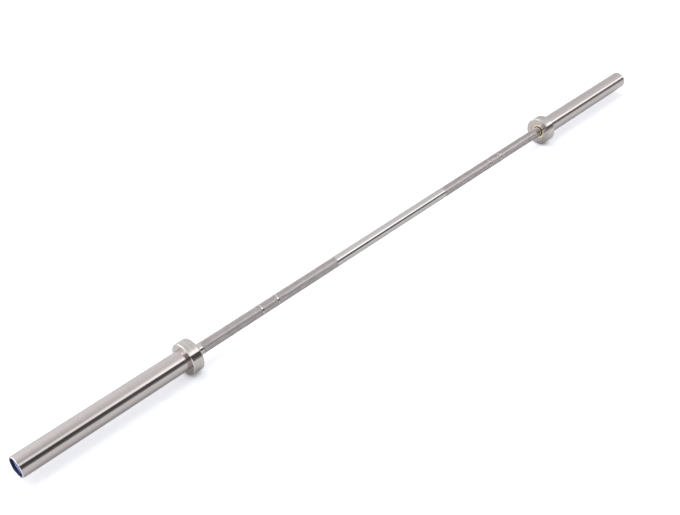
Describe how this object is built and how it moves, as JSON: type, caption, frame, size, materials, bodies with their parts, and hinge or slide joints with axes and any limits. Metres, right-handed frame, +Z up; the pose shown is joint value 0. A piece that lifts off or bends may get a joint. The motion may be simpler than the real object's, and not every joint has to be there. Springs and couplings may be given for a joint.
{
  "type": "olympic barbell",
  "caption": "Straight olympic barbell: a knurled steel shaft with free-spinning sleeves on bronze bushings, collars that stop the plates, and dished end caps.",
  "frame": {"origin": "middle of the shaft, on its axis", "axes": "+X along the bar towards its right end, +Z up; the left end is the near one in the picture"},
  "size_m": [2.2, 0.078, 0.078],
  "materials": {
    "shaft_steel": "satin, polished where smooth, knurled in bands",
    "sleeve_steel": "satin, turned",
    "collar_steel": "polished, turned with fine rings",
    "bronze": "machined and polished",
    "washer_steel": "ground",
    "spring_steel": "dark phosphate, oiled",
    "cap_plastic": "moulded",
    "disc_plastic": "glossy"
  },
  "bodies": {
    "shaft": {"shaft": "shaft_steel", "left_thrust_washer": "washer_steel", "left_ring_spacer": "washer_steel", "left_inner_snap_ring": "spring_steel", "left_outer_snap_ring": "spring_steel", "right_thrust_washer": "washer_steel", "right_ring_spacer": "washer_steel", "right_inner_snap_ring": "spring_steel", "right_outer_snap_ring": "spring_steel"},
    "left_sleeve": {"left_sleeve": "sleeve_steel", "left_collar": "collar_steel", "left_inner_bushing": "bronze", "left_outer_bushing": "bronze", "left_end_cap": "cap_plastic", "left_end_disc": "disc_plastic"},
    "right_sleeve": {"right_sleeve": "sleeve_steel", "right_collar": "collar_steel", "right_inner_bushing": "bronze", "right_outer_bushing": "bronze", "right_end_cap": "cap_plastic", "right_end_disc": "disc_plastic"}
  },
  "joints": [
    {"name": "left_sleeve_spin", "type": "hinge", "parent": "shaft", "child": "left_sleeve", "pos_m": [-0.8775, 0, 0], "axis": [-1, 0, 0], "continuous": true},
    {"name": "right_sleeve_spin", "type": "hinge", "parent": "shaft", "child": "right_sleeve", "pos_m": [0.8775, 0, 0], "axis": [1, 0, 0], "continuous": true}
  ]
}
